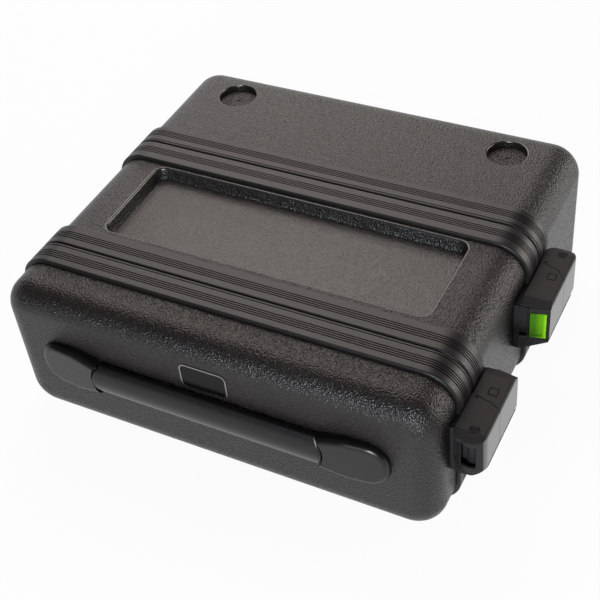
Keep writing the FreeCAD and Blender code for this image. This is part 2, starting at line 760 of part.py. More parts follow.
def handle_cap(label, side):
    """An end cap that slopes to a rounded tip, with a slot for the strap's end."""
    body = new_body()
    low, high = handle_up - z.cap_half_height, handle_up + z.cap_half_height
    seam_low, seam_high = handle_up - z.grip_half_height, handle_up + z.grip_half_height
    start = z.grip_half_length
    top = grip_front + z.seam_gap

    def outline(sketch):
        corners = [(start, seam_low), (z.cap_shoulder, low), (z.cap_tip, low)]
        corners += [(z.cap_tip, high), (z.cap_shoulder, high), (start, seam_high)]
        loop(sketch, [(side * x, up) for x, up in corners])

    prism(body, "XZ_Plane", front_face, top, outline)

    def upright_at(place):
        def wanted(edge):
            box = edge.BoundBox
            upright = box.XLength < 1e-4 and box.ZLength < 1e-4
            return upright and abs(abs(box.XMin) - number(place)) < 1e-4

        return wanted

    soften(body, z.cap_tip_round, upright_at(z.cap_tip))
    soften(body, z.cap_shoulder_round, upright_at(z.cap_shoulder))

    def slope(sketch):
        corners = [(start, top), (z.cap_tip, front_face - z.cap_tip_proud), (z.cap_tip, top)]
        loop(sketch, [(side * x, y) for x, y in corners])

    cut(body, "XY_Plane", low, high, slope)

    def front_rim(edge):
        box = edge.BoundBox
        ahead = box.YMax < number(front_face) - 1
        at_seam = abs(box.XMin - number(side * start)) < 1e-4 and box.XLength < 1e-4
        return ahead and not at_seam

    soften(body, z.cap_edge, front_rim)

    def seam(sketch):
        circle(sketch, side * end_centre, handle_up, z.grip_end_radius + z.seam_gap)

    cut(body, "XZ_Plane", front_face, top, seam)
    strap_block(body, side * end_centre, side * (z.strap_half_length + z.seam_gap), z.strap_gap, "Pocket")
    for reach in (z.handle_screw_inner, z.handle_screw_outer):

        def screw_hole(sketch):
            circle(sketch, side * reach, handle_up, shank_hole)

        cut(body, "XZ_Plane", front_face, front_face - z.handle_screw_reach, screw_hole)
    settle(body)
    keep(body, label)


def handle_screws():
    made = []
    for x in handle_screw_places:
        made.append(screw(z.wall + z.handle_screw_reach, x, front_face + z.wall, handle_up, TO_FRONT))
    group("handle_screws", made)


def badge():
    """A blank plate in a bright rim."""
    back = front_face + z.badge_pocket

    def outline(sketch, grow):
        wide, tall = z.badge_half_width + grow, z.badge_half_height + grow
        rectangle(sketch, -wide, wide, z.badge_rise - tall, z.badge_rise + tall, z.badge_corner + grow)

    def rim_outline(sketch):
        outline(sketch, 0)
        outline(sketch, -z.badge_rim_width)

    rim = new_body()
    prism(rim, "XZ_Plane", back, front_face - z.badge_proud, rim_outline)
    settle(rim)
    keep(rim, "badge_rim")
    plate = new_body()
    inner = -z.badge_rim_width - z.badge_gap
    prism(plate, "XZ_Plane", back, front_face - z.badge_proud / 2, lambda sketch: outline(sketch, inner))
    settle(plate)
    keep(plate, "badge_plate")


# Hinges

leaf_x = -(valance_x + z.leaf_thickness)
leaf_start = z.knuckle_radius + z.knuckle_gap


def hinge_leaf(label, side, outward):
    """A leaf riveted to a valance. The cover's leaf has the middle knuckle, the sleeve's the other two."""
    away = side * outward
    axis_y = side * z.parting
    body = new_body()
    length = z.hinge_half_length
    middle = z.hinge_middle_half
    spans = [(-middle, middle)]
    if outward < 0:
        spans = [(-length, -(middle + z.knuckle_gap)), (middle + z.knuckle_gap, length)]

    def plate(sketch):
        rectangle(sketch, axis_y + away * leaf_start, axis_y + away * z.leaf_width, -length, length)

    prism(body, "YZ_Plane", -valance_x, leaf_x, plate)
    for low, high in spans:

        def tab(sketch):
            rectangle(sketch, axis_y, axis_y + away * (leaf_start + z.leaf_thickness), low, high)

        prism(body, "YZ_Plane", -valance_x, leaf_x, tab)
        prism(body, "XY_Plane", low, high, lambda sketch: circle(sketch, -hinge_x, axis_y, z.knuckle_radius))
    bore = z.pin_radius + z.pin_clearance
    cut(body, "XY_Plane", -length, length, lambda sketch: circle(sketch, -hinge_x, axis_y, bore))
    side_holes(body, axis_y + away * z.fastener_offset, hinge_ups, leaf_x, -valance_x)
    settle(body)
    keep(body, label)


def hinge_pin(label, side):
    head = z.pin_head_radius
    top = z.hinge_half_length
    pin = turned(
        [
            (0, -(top + z.pin_head_height)),
            (head * 0.7, -(top + z.pin_head_height)),
            (head, -(top + z.pin_head_height / 2)),
            (head, -top),
            (z.pin_radius, -top),
            (z.pin_radius, top),
            (head, top),
            (head, top + z.pin_head_height / 2),
            (head * 0.7, top + z.pin_head_height),
            (0, top + z.pin_head_height),
        ]
    )
    settle(pin, -hinge_x, side * z.parting)
    keep(pin, label)


def rivet(y, up):
    """A rivet through leaf, valance and wall, its head outside."""
    grip = -fastener_seat_x - leaf_x
    tail = z.fastener_head_radius * 0.85
    body = turned(
        [
            (0, -z.fastener_head_height),
            (z.fastener_head_radius * 0.6, -z.fastener_head_height),
            (z.fastener_head_radius, -z.fastener_head_height * 0.4),
            (z.fastener_head_radius, 0),
            (z.fastener_radius, 0),
            (z.fastener_radius, grip),
            (tail, grip),
            (tail, grip + z.fastener_head_height / 2),
            (0, grip + z.fastener_head_height / 2),
        ]
    )
    settle(body, leaf_x, y, up, TO_RIGHT)
    return body


def hinge_rivets():
    cover_y = z.parting + z.fastener_offset
    sleeve_y = z.parting - z.fastener_offset
    group("front_hinge_rivets", [rivet(-cover_y, up) for up in hinge_ups])
    group("rear_hinge_rivets", [rivet(cover_y, up) for up in hinge_ups])
    group("middle_hinge_rivets", [rivet(y, up) for y in (-sleeve_y, sleeve_y) for up in hinge_ups])


# Latches, laid out by the length u from the hinge end and the height v over the valance

housing_low = z.base_plate + z.housing_gap
pivot_v = (z.latch_depth + housing_low) / 2
housing_round = (z.latch_depth - housing_low) / 2
cheek_inside = z.latch_half_height - z.housing_cheek
ear_half = cheek_inside - z.housing_gap
cavity_top = z.latch_depth - z.housing_wall
pocket_floor = z.latch_length - z.button_end_wall
cavity_end = pocket_floor - z.housing_wall * 0.8
keeper_room = z.keeper_height + z.housing_gap
button_up = z.latch_rise - z.button_drop
bracket_bottom = z.latch_rise - z.bracket_low
bracket_top = z.latch_rise - z.latch_half_height - z.housing_gap
bracket_depth = z.latch_depth - z.bracket_inset


class Latch:
    """The two latches differ in their reach, their direction and their seams."""

    def __init__(self, name, side, reach, seam):
        self.name = name
        self.reach = reach
        self.away = -side
        self.start = side * (z.parting + reach)
        self.seam = seam

    def spot(self, u, v):
        return valance_x + v, self.start + self.away * u

    def outline(self, corners, arcs=None):
        """An outline of u and v, for a sketch seen from above."""
        places = [self.spot(u, v) for u, v in corners]
        centres = {i: self.spot(u, v) for i, (u, v) in (arcs or {}).items()}
        return lambda sketch: loop(sketch, places, centres)

    def box(self, u0, u1, v0, v1):
        return self.outline([(u0, v0), (u1, v0), (u1, v1), (u0, v1)])

    def disc(self, u, v, radius):
        x, y = self.spot(u, v)
        return lambda sketch: circle(sketch, x, y, radius)

    def block(self, body, half, draw, kind="Pad", middle=z.latch_rise):
        """Add or cut an outline up and down from the latch's middle."""
        return prism(body, "XY_Plane", middle - half, middle + half, draw, kind)

    def seam_line(self, gap):
        """The seam from the outer face to the valance side, moved along the latch by a gap."""
        inner, middle, outer = self.seam
        return [
            (outer + gap, z.latch_depth),
            (middle + gap, pivot_v + z.seam_straight),
            (middle + gap, pivot_v - z.seam_straight),
            (inner + gap, housing_low),
        ]

    def slope(self, body, end, back, drop):
        """Slope the top, from full height at u back to the end."""
        face = z.latch_rise + z.latch_half_height
        near, far = self.spot(end, 0)[1], self.spot(back, 0)[1]

        def wedge(sketch):
            loop(sketch, [(near, face), (near, face - drop), (far, face)])

        cut(body, "YZ_Plane", valance_x, latch_outer_x, wedge)

    def outer_edges(self, body, extra):
        """Round the housing's edges round its upper and lower faces, at the outer side and where extra says."""
        levels = [number(z.latch_rise - z.latch_half_height), number(z.latch_rise + z.latch_half_height)]
        outer = number(latch_outer_x)

        def wanted(edge):
            box = edge.BoundBox
            flat = box.ZLength < 1e-4 and any(abs(box.ZMin - z0) < 1e-4 for z0 in levels)
            at_face = abs(box.XMin - outer) < 1e-4 and box.XLength < 1e-4
            return flat and (at_face or extra(edge))

        soften(body, z.housing_edge, wanted)

    def keep(self, body, label):
        settle(body)
        keep(body, f"{self.name}_{label}")

    def bracket(self, body, outline, near, far):
        """A bracket under the housing. Its underside slopes up to a thin lip at the outer side."""
        prism(body, "XY_Plane", bracket_bottom, bracket_top, outline)
        inner = valance_x + z.base_plate
        lip = bracket_top - z.bracket_lip

        def wedge(sketch):
            loop(sketch, [(inner, bracket_bottom), (latch_outer_x, bracket_bottom), (latch_outer_x, lip)])

        cut(body, "XZ_Plane", self.spot(near, 0)[1], self.spot(far, 0)[1], wedge)

    def base(self, band_end):
        """The base on the cover: a plate with a heel, the barrel that carries the pin, and a bracket."""
        body = new_body()
        pivot = z.latch_pivot
        heel = pivot - z.heel_setback
        foot = [(heel, 0)]
        if band_end is not None:
            foot = [(heel, -z.valance_proud), (band_end, -z.valance_proud), (band_end, 0)]
        nest = housing_round + z.housing_gap
        below = pivot_v - z.heel_height
        tip = pivot - (nest * nest - below * below).root()
        end = self.reach - z.base_setback
        corners = foot + [(end, 0), (end, z.base_plate), (pivot, z.base_plate)]
        round_start = len(corners) - 1
        corners += [(tip, z.heel_height), (tip - z.heel_land, z.heel_height)]
        corners += [(heel, 0)] if band_end is not None else []
        plate = self.outline(corners, {round_start: (pivot, pivot_v)})
        prism(body, "XY_Plane", bracket_top - z.bracket_lip, z.latch_rise + ear_half, plate)
        seam = self.reach - z.parting_gap
        centre = pivot + z.bracket_setback
        corners = foot + [(seam, 0), (seam, bracket_depth), (centre, bracket_depth)]
        round_start = len(corners) - 1
        corners += [(centre - bracket_depth + pivot_v, pivot_v)]
        corners += [(heel, 0)] if band_end is not None else []
        under = self.outline(corners, {round_start: (centre, pivot_v)})
        self.bracket(body, under, pivot - housing_round * 2, self.reach + z.housing_wall)
        neck = self.box(
            z.latch_pivot - z.neck_half_width, z.latch_pivot + z.neck_half_width, z.base_plate / 2, pivot_v
        )
        self.block(body, z.neck_half_height, neck)
        self.block(body, ear_half, self.disc(z.latch_pivot, pivot_v, z.barrel_radius))
        bore = z.latch_pin_radius + z.pin_clearance
        self.block(body, ear_half, self.disc(z.latch_pivot, pivot_v, bore), "Pocket")
        screw_y = self.start + self.away * (self.reach - z.fastener_offset)
        side_holes(body, screw_y, latch_ups, valance_x, valance_x + z.latch_screw_reach)
        self.keep(body, "latch_base")

    def pin(self):
        half = z.latch_half_height - z.latch_pin_sink
        pin = turned([(0, -half), (z.latch_pin_radius, -half), (z.latch_pin_radius, half), (0, half)])
        x, y = self.spot(z.latch_pivot, pivot_v)
        settle(pin, x, y, z.latch_rise)
        keep(pin, f"{self.name}_latch_pin")

    def hinge_cap(self):
        """The hinge end of the housing, slotted for the neck. Its top reaches over the base."""
        body = new_body()
        end = z.latch_pivot - housing_round
        corners = [(z.latch_pivot, housing_low), (end, pivot_v), (z.latch_pivot, z.latch_depth)]
        corners += self.seam_line(0)
        arcs = {0: (z.latch_pivot, pivot_v), 1: (z.latch_pivot, pivot_v)}
        self.block(body, z.latch_half_height, self.outline(corners, arcs))
        end_y = number(self.spot(z.latch_pivot, 0)[1])

        def round_end(edge):
            reach = (edge.BoundBox.Center.y - end_y) * self.away
            return reach < -1e-3

        self.outer_edges(body, round_end)
        swing = pivot_v - z.housing_gap
        corner = pivot_v - (swing * swing - housing_round * housing_round).root()
        flap = [(z.latch_pivot, z.housing_gap), (self.seam[0], z.housing_gap), (self.seam[0], housing_low)]
        flap += [(z.latch_pivot, pivot_v), (end, pivot_v), (end, corner)]
        over = self.outline(flap, {5: (z.latch_pivot, pivot_v)})
        prism(body, "XY_Plane", z.latch_rise + cheek_inside, z.latch_rise + z.latch_half_height, over)
        inside = end + z.housing_wall
        cavity = [(inside, 0), (z.latch_length, 0), (z.latch_length, cavity_top)]
        cavity += [(z.latch_pivot, cavity_top), (inside, pivot_v)]
        self.block(body, cheek_inside, self.outline(cavity, {3: (z.latch_pivot, pivot_v)}), "Pocket")
        slot_half = z.neck_half_height + z.neck_gap
        slot_top = pivot_v + z.neck_half_width + z.neck_gap
        self.block(body, slot_half, self.box(end - z.housing_wall, z.latch_pivot, 0, slot_top), "Pocket")
        self.slope(body, end, end + z.cap_slope_run, z.cap_slope_drop)
        bore = z.latch_pin_radius + z.pin_clearance
        self.block(body, z.latch_half_height, self.disc(z.latch_pivot, pivot_v, bore), "Pocket")
        for sign in (-1, 1):
            face = z.latch_rise + sign * z.latch_half_height
            recess = self.disc(z.latch_pivot, pivot_v, z.pin_recess)
            cut(body, "XY_Plane", face, face - sign * z.latch_pin_sink, recess)
        self.keep(body, "latch_hinge_cap")

    def end_u(self, v):
        """The free end at a height over the valance."""
        run = (v - z.lever_low) / (z.latch_depth - z.lever_low)
        return z.latch_length - z.latch_slant * run

    def lever(self):
        """The free end of the housing, hollow over the keeper, with the button's pocket in its end."""
        body = new_body()
        corners = self.seam_line(z.housing_seam)
        corners += [(self.seam[0] + z.housing_seam, z.lever_low), (z.latch_length, z.lever_low)]
        corners += [(self.end_u(z.latch_depth), z.latch_depth)]
        self.block(body, z.latch_half_height, self.outline(corners))
        end_y = number(self.spot(z.latch_length - z.latch_slant, 0)[1])

        def free_end(edge):
            reach = (edge.BoundBox.Center.y - end_y) * self.away
            return reach > 1e-3 and edge.BoundBox.XLength > 1 and edge.BoundBox.YLength > 1e-3

        self.outer_edges(body, free_end)
        self.block(body, cheek_inside, self.box(0, cavity_end, 0, cavity_top), "Pocket")
        beyond = z.latch_length + z.housing_wall
        self.block(body, cheek_inside, self.box(0, beyond, 0, keeper_room), "Pocket")
        low, high = z.button_inner - z.button_gap, z.button_outer + z.button_gap
        tall = z.button_half_height + z.button_gap
        self.block(body, tall, self.box(pocket_floor, beyond, low, high), "Pocket", button_up)
        end = z.latch_length
        self.slope(body, end, end - z.brow_run, z.brow_drop)
        under = z.latch_rise - cheek_inside
        plate_room = self.box(self.reach, beyond, 0, z.keeper_plate + z.housing_gap)
        cut(body, "XY_Plane", under - z.housing_cheek, under, plate_room)
        top = z.latch_rise + z.latch_half_height
        middle_u, middle_v = self.seam[1] + z.frame_from_seam, pivot_v

        def frame(sketch):
            for half in (z.frame_half, z.frame_half - z.frame_line):
                x0, y0 = self.spot(middle_u - half, middle_v - half)
                x1, y1 = self.spot(middle_u + half, middle_v + half)
                loop(sketch, [(x0, y0), (x1, y0), (x1, y1), (x0, y1)])

        cut(body, "XY_Plane", top, top - z.frame_line, frame)
        self.keep(body, "latch_lever")

    def button(self):
        """The release button in the free end, with a seat for its spring."""
        body = new_body()
        inner_end = pocket_floor + z.button_travel + z.button_gap
        low, high = z.button_inner, z.button_outer
        corners = [(inner_end, low), (self.end_u(low) + z.button_proud, low)]
        corners += [(self.end_u(high) + z.button_proud, high), (inner_end, high)]
        self.block(body, z.button_half_height, self.outline(corners), "Pad", button_up)
        inner_y = number(self.spot(inner_end, 0)[1])

        def outer_face(edge):
            box = edge.BoundBox
            clear = min((box.YMin - inner_y) * self.away, (box.YMax - inner_y) * self.away)
            return clear > 1e-3 and box.YLength < 4

        soften(body, z.button_round, outer_face)
        rim = high - z.button_rim
        face, back = self.end_u(low) + z.button_proud, self.end_u(rim) + z.button_proud
        scoop = self.outline([(face, low), (back + z.button_scoop, rim), (back - z.button_scoop, rim)])
        under = button_up - z.button_half_height + z.button_rim
        cut(body, "XY_Plane", under, button_up + z.button_half_height, scoop)
        x, y = self.spot(inner_end, (low + high) / 2)
        seat_end = y + self.away * z.spring_sink
        seat = z.spring_radius + z.spring_gap
        cut(body, "XZ_Plane", y, seat_end, lambda sketch: circle(sketch, x, button_up, seat))
        self.keep(body, "release_button")

    def spring(self):
        """The sleeve that pushes the button out."""
        body = new_body()
        x, floor = self.spot(pocket_floor, (z.button_inner + z.button_outer) / 2)
        length = z.button_travel + z.button_gap + z.spring_sink

        def sleeve(sketch):
            circle(sketch, x, button_up, z.spring_radius)
            circle(sketch, x, button_up, z.spring_radius - z.spring_wire)

        prism(body, "XZ_Plane", floor, floor + self.away * length, sleeve)
        self.keep(body, "button_spring")

    def claw(self):
        """The steel hook under the lever's outer wall, behind the keeper's post."""
        body = new_body()
        begin = self.reach + z.keeper_post_end + z.claw_gap
        end = begin + z.claw_thickness
        corners = [(begin, z.claw_tip), (end, z.claw_tip), (end, cavity_top)]
        corners += [(end - z.claw_arm, cavity_top), (end - z.claw_arm, cavity_top - z.claw_thickness)]
        corners += [(begin, cavity_top - z.claw_thickness)]
        self.block(body, z.claw_half, self.outline(corners))
        self.keep(body, "latch_claw")

    def keeper(self):
        """The keeper on the sleeve: a plate, the post for the claw, a stop in the lever's end and a bracket."""
        body = new_body()
        band = self.reach + z.valance_width + z.parting_gap
        end = z.latch_length - z.keeper_end
        low = -z.valance_proud
        near = self.reach + z.keeper_start
        foot = [(band, 0), (band, low), (end, low)]
        plate = self.outline([(near, 0)] + foot + [(end, z.keeper_plate), (near, z.keeper_plate)])
        prism(body, "XY_Plane", bracket_bottom, z.latch_rise + z.keeper_plate_half, plate)
        stop = self.box(end - z.keeper_stop, end, z.keeper_plate / 2, z.keeper_height)
        self.block(body, ear_half, stop)
        near = self.reach + z.parting_gap
        outer_end = self.end_u(bracket_depth) - z.bracket_inset
        under = self.outline([(near, 0)] + foot + [(outer_end, bracket_depth), (near, bracket_depth)])
        self.bracket(body, under, self.reach, z.latch_length + z.housing_wall)
        post_end = self.reach + z.keeper_post_end
        post = self.box(post_end - z.keeper_post, post_end, z.keeper_plate / 2, z.keeper_height)
        self.block(body, z.keeper_post_half, post)
        screw_y = self.start + self.away * (self.reach + z.fastener_offset)
        side_holes(body, screw_y, latch_ups, valance_x, valance_x + z.latch_screw_reach)
        self.keep(body, "keeper")

    def make(self, band_end):
        self.base(band_end)
        self.pin()
        self.hinge_cap()
        self.lever()
        self.claw()
        self.button()
        self.spring()
        self.keeper()


def latch_screws():
    """Screws from inside, into the latch bases and the keepers."""
    reach = valance_x - fastener_seat_x + z.latch_screw_reach
    cover_y = z.parting + z.fastener_offset
    sleeve_y = z.parting - z.fastener_offset

    def row(y):
        return [screw(reach, fastener_seat_x, y, up, TO_RIGHT) for up in latch_ups]

    group("front_latch_screws", row(-cover_y))
    group("rear_latch_screws", row(cover_y))
    group("keeper_screws", row(-sleeve_y) + row(sleeve_y))


# Foam


def middle_foam():
    """The foam block in the sleeve: two troughs open to the front, one pocket open to the rear."""
    body = new_body()
    depth = z.foam_half_depth
    prism(body, "XZ_Plane", depth, -depth, lambda sketch: section(sketch, -(z.wall + z.foam_gap)))
    grow = z.wall + z.foam_gap
    wide = z.recess_half_length + grow
    front, rear = z.recess_centre - z.recess_half_width - grow, z.recess_centre + z.recess_half_width + grow
    tray_bottom = z.shell_half_height - z.recess_depth - z.wall - z.foam_gap

    def tray(sketch):
        rectangle(sketch, -wide, wide, front, rear, z.recess_corner + grow)

    cut(body, "XY_Plane", z.shell_half_height, tray_bottom, tray)
    floor = -z.shell_half_height + z.wall + z.foam_gap
    middle = (floor + tray_bottom) / 2
    long = z.trough_half_length
    for sign in (-1, 1):
        near = middle + sign * z.trough_wall / 2
        far = near + sign * z.trough_height
        low, high = (near, far) if sign > 0 else (far, near)

        def trough(sketch):
            rectangle(sketch, -long, long, low, high, z.trough_corner)

        cut(body, "XZ_Plane", -depth, -depth + z.trough_depth, trough)

    def pocket(sketch):
        long, tall = z.receiver_half_length, z.receiver_half_height
        rectangle(sketch, -long, long, -tall, tall, z.trough_corner)

    cut(body, "XZ_Plane", depth, depth - z.receiver_depth, pocket)
    settle(body)
    keep(body, "middle_foam")


def cover_pads():
    """Foam pads on the end walls of the covers."""
    pad = new_body()
    back = front_face + z.wall + z.foam_gap
    face = -(z.parting + z.front_pad_face)
    prism(pad, "XZ_Plane", back, face, lambda sketch: section(sketch, -z.front_pad_inset))
    room = z.fastener_head_height + z.head_pocket
    for x in handle_screw_places:

        def head_pocket(sketch):
            circle(sketch, x, handle_up, z.fastener_head_radius + z.head_pocket)

        cut(pad, "XZ_Plane", back, back + room, head_pocket)
    settle(pad)
    keep(pad, "front_cover_foam")
    pad = new_body()
    back = rear_face - z.wall - z.foam_gap
    prism(pad, "XZ_Plane", back, back - z.rear_pad_thickness, lambda sketch: section(sketch, -z.rear_pad_inset))
    settle(pad)
    keep(pad, "rear_cover_foam")


middle_shell()
front_cover_shell()
rear_cover_shell()
valance("front_cover_valance", -1, 1)
valance("middle_front_valance", -1, -1)
valance("middle_rear_valance", 1, -1)
valance("rear_cover_valance", 1, 1)
feet()
handle_grip()
handle_cap("handle_cap_left", -1)
handle_cap("handle_cap_right", 1)
handle_screws()
badge()
for front_or_rear, side in (("front", -1), ("rear", 1)):
    hinge_leaf(f"{front_or_rear}_hinge_cover_leaf", side, 1)
    hinge_leaf(f"{front_or_rear}_hinge_sleeve_leaf", side, -1)
    hinge_pin(f"{front_or_rear}_hinge_pin", side)
hinge_rivets()
front_seam = (z.front_seam_inner, z.front_seam_middle, z.front_seam_outer)
rear_seam = (z.rear_seam_inner, z.rear_seam_middle, z.rear_seam_outer)
front_latch = Latch("front", -1, z.front_latch_reach, front_seam)
rear_latch = Latch("rear", 1, z.rear_latch_reach, rear_seam)
front_latch.make(z.front_latch_reach - z.valance_width - z.parting_gap)
rear_latch.make(None)
latch_screws()
middle_foam()
cover_pads()

# Every feature is sound, every cut takes something away, and every piece is one valid shape
doc.recompute()
for thing in doc.Objects:
    if "Invalid" in thing.State or "Error" in thing.State:
        raise RuntimeError(f"{thing.Name} ({thing.TypeId}) is not sound")
    if thing.TypeId == "PartDesign::Pocket" and thing.BaseFeature is not None:
        if thing.Shape.Volume > thing.BaseFeature.Shape.Volume - 1e-3:
            raise RuntimeError(f"{thing.Name} cuts nothing in {thing.getParentGeoFeatureGroup().Label}")
os.makedirs("parts", exist_ok=True)
for piece in pieces:
    if piece.Shape.isNull() or not piece.Shape.isValid():
        raise RuntimeError(f"{piece.Label} is not valid")
    piece.Shape.exportStep(f"parts/{piece.Label}.step")
print(len(pieces), "pieces written")
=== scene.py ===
# %% [markdown]
# # A moulded hard case for a wireless microphone set
# The case is three black shells: a sleeve in the middle and a cover at each end. Ribbed bands edge the
# partings, latches with green release buttons hold the covers shut, and a flexing strap handle lies on
# the front. The rigid pieces come from the CAD model. This lesson gives them finishes, models the foam
# and the strap, and sets the light and the camera.

# %% Load the model
import math

import bpy
from mathutils import Matrix, Vector


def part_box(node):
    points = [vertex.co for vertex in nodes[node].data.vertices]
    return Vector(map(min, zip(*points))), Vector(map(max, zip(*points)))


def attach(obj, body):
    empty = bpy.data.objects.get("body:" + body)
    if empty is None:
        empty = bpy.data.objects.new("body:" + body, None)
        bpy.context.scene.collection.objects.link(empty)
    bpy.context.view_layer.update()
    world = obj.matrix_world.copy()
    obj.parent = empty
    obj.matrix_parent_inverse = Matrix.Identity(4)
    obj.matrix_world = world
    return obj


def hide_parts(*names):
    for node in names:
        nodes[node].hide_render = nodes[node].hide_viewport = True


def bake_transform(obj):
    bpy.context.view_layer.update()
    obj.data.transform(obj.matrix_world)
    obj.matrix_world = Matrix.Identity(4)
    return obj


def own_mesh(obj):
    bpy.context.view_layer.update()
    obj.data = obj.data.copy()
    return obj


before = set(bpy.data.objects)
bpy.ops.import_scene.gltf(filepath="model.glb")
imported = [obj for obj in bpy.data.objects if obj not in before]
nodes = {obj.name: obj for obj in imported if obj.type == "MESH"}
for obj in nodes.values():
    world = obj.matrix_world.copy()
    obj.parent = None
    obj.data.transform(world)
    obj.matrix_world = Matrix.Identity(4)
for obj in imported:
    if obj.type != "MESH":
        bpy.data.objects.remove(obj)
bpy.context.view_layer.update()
MM = 0.001
ENDS = ("front", "rear")

# %% [markdown]
# ## Colours and nodes
# Colours are written as sRGB hex values, the way a picture editor shows them. Blender's shaders want
# linear light, so one function turns each hex value round. A second small function adds a shader node,
# sets its values and links its inputs, which keeps every material down to a few readable lines.


# %% Helpers for materials
def linear(hex_colour):
    channels = [int(hex_colour[i : i + 2], 16) / 255 for i in (1, 3, 5)]
    return [c / 12.92 if c <= 0.04045 else ((c + 0.055) / 1.055) ** 2.4 for c in channels] + [1.0]


def add(tree, kind, settings=None, **inputs):
    """Add a node. An input given as a socket is linked, and anything else is its value."""
    made = tree.nodes.new(kind)
    for name, value in (settings or {}).items():
        setattr(made, name, value)
    for name, value in inputs.items():
        socket = made.inputs[name.replace("_", " ")]
        if isinstance(value, bpy.types.NodeSocket):
            tree.links.new(value, socket)
        else:
            socket.default_value = value
    return made


def new_material(name):
    made = bpy.data.materials.new(name)
    made.use_nodes = True
    made.node_tree.nodes.clear()
    return made, made.node_tree


def per_mm(size):
    """The scale of a pattern whose cells are this many millimetres wide."""
    return 1 / (size * MM)


# %% [markdown]
# A finish goes on whole nodes, or on the faces of one node that a test picks. Faces could be picked by
# hand in edit mode, but a test of their place and normal still finds them after the model has changed.


# %% Helpers that put a finish on
def paint(finish, *names):
    for name in names:
        nodes[name].data.materials.clear()
        nodes[name].data.materials.append(finish)
    print(finish.name, "on", len(names), "nodes")


def refinish(name, finish, wanted):
    """Put a finish on the faces of a node whose place, in millimetres, and normal are wanted."""
    mesh = nodes[name].data
    mesh.materials.append(finish)
    picked = [face for face in mesh.polygons if wanted(face.center / MM, face.normal)]
    for face in picked:
        face.material_index = len(mesh.materials) - 1
    print(finish.name, "on", len(picked), "faces of", name)


# %% [markdown]
# ## Grained polyethylene
# The shells are moulded in black polyethylene, and the mould gives them a pebbled leather grain. A
# picture of leather would have to be unwrapped and would repeat, so the grain is worked out: rounded
# Voronoi cells give the pebbles, one noise bends their rows, a finer one breaks them up, and the sum
# drives a bump. The tops of the pebbles are smoother than the valleys, so the same pattern also moves the
# roughness. That is what makes the rounded front edge sparkle.

# %% The grain's recipe
BEND_WIDTH = 4  # the rows of pebbles wander over this many millimetres
BEND_REACH = 0.9  # and by this many
CLOUD_WIDTH = 60  # the black drifts slowly, over this many millimetres


def grained_polyethylene(name, pebble, depth, smooth, rough, shine):
    finish, tree = new_material(name)
    point = add(tree, "ShaderNodeTexCoord").outputs["Object"]
    wander = add(tree, "ShaderNodeTexNoise", Vector=point, Scale=per_mm(BEND_WIDTH), Detail=2.0)
    bent = add(tree, "ShaderNodeVectorMath", {"operation": "MULTIPLY_ADD"})
    tree.links.new(wander.outputs["Color"], bent.inputs[0])
    bent.inputs[1].default_value = (BEND_REACH * MM,) * 3
    tree.links.new(point, bent.inputs[2])
    pebbles = add(
        tree,
        "ShaderNodeTexVoronoi",
        {"feature": "SMOOTH_F1"},
        Vector=bent.outputs[0],
        Scale=per_mm(pebble),
        Smoothness=0.25,
    )
    fine = add(tree, "ShaderNodeTexNoise", Vector=point, Scale=per_mm(0.6 * pebble), Detail=3.0)
    height = add(tree, "ShaderNodeMath", {"operation": "MULTIPLY_ADD"})
    tree.links.new(fine.outputs["Fac"], height.inputs[0])
    height.inputs[1].default_value = -0.5
    tree.links.new(pebbles.outputs["Distance"], height.inputs[2])
    bump = add(
        tree, "ShaderNodeBump", {"invert": True}, Height=height.outputs[0], Strength=0.9, Distance=depth * MM
    )
    cloud = add(tree, "ShaderNodeTexNoise", Vector=point, Scale=per_mm(CLOUD_WIDTH), Detail=4.0)
    shade = add(tree, "ShaderNodeValToRGB", Fac=cloud.outputs["Fac"])
    shade.color_ramp.elements[0].position = 0.3
    shade.color_ramp.elements[0].color = linear("#151210")
    shade.color_ramp.elements[1].position = 0.7
    shade.color_ramp.elements[1].color = linear("#1a1715")
    gloss = add(tree, "ShaderNodeMapRange", Value=pebbles.outputs["Distance"], To_Min=smooth, To_Max=rough)
    surface = add(
        tree,
        "ShaderNodeBsdfPrincipled",
        Base_Color=shade.outputs["Color"],
        Roughness=gloss.outputs["Result"],
        Normal=bump.outputs["Normal"],
        Specular_IOR_Level=shine,
    )
    add(tree, "ShaderNodeOutputMaterial", Surface=surface.outputs["BSDF"])
    return finish


# %% [markdown]
# ## The three shells
# The floor of the label recess has a finer and flatter grain, so that a label sticks to it, and the rims
# of the recess and of the stacking cups are rubbed smooth. Both are the same recipe with smaller numbers.
# A real pebble is about a millimetre wide; on the shells it is drawn a little coarser, because a finer
# one blurs away at the picture's size.

# %% Where the grain changes
shell_low, shell_high = (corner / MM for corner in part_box("middle_shell"))
shell_middle = (shell_low + shell_high) / 2
feet_low, feet_high = (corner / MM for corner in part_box("rubber_feet"))
RECESS_DEPTH = 9.5
RECESS_BEHIND = 1.5  # the recess lies this far behind the sleeve's middle
RECESS_REACH_X, RECESS_REACH_Y = 129, 42  # from the middle of the recess to just past its rim
CUP_SPACING = 115  # a cup's middle, from the case's middle
CUP_REACH = 17  # from a cup's middle to just past its rim
RIM_DEPTH = 2
LEVEL = 0.985  # the upward part of a normal that still counts as level


def on_rim(place, normal):
    return place.z > shell_high.z - RIM_DEPTH and normal.z < LEVEL


def recess_floor(place, normal):
    return normal.z > 0.9 and abs(place.z - (shell_high.z - RECESS_DEPTH)) < 0.1


def recess_rim(place, normal):
    across = abs(place.x - shell_middle.x)
    along = abs(place.y - shell_middle.y - RECESS_BEHIND)
    return across < RECESS_REACH_X and along < RECESS_REACH_Y and on_rim(place, normal)


